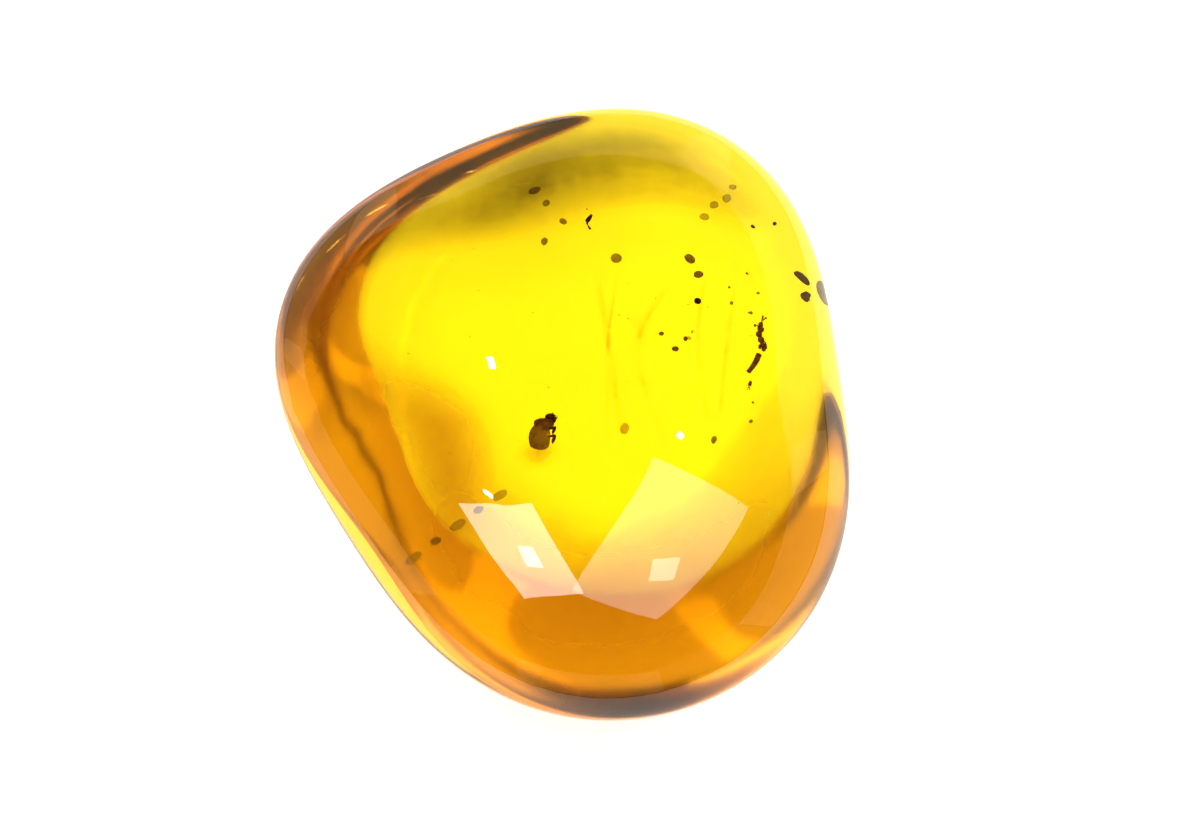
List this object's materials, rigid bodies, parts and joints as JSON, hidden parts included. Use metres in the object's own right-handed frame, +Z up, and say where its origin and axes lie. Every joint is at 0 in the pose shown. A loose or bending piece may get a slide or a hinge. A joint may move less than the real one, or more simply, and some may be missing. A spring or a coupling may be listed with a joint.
{
  "type": "insect in amber",
  "caption": "Polished freeform pebble of clear yellow amber, a soft triangle in plan with a low rounded crown, with a small fossil insect and plant debris sealed in it.",
  "frame": {"origin": "on the surface the stone rests on, under the middle of the stone's plan", "axes": "+Z up through the stone's thickness, from the rest face to the crown; +Y points to the stone's broad rounded end as seen from the front, and +X to the right"},
  "size_m": [0.0196, 0.0232, 0.0105],
  "materials": {
    "amber": "clear yellow amber, tumbled and hand polished to a high gloss"
  },
  "bodies": {
    "root": {"amber_stone": "amber"}
  },
  "joints": []
}
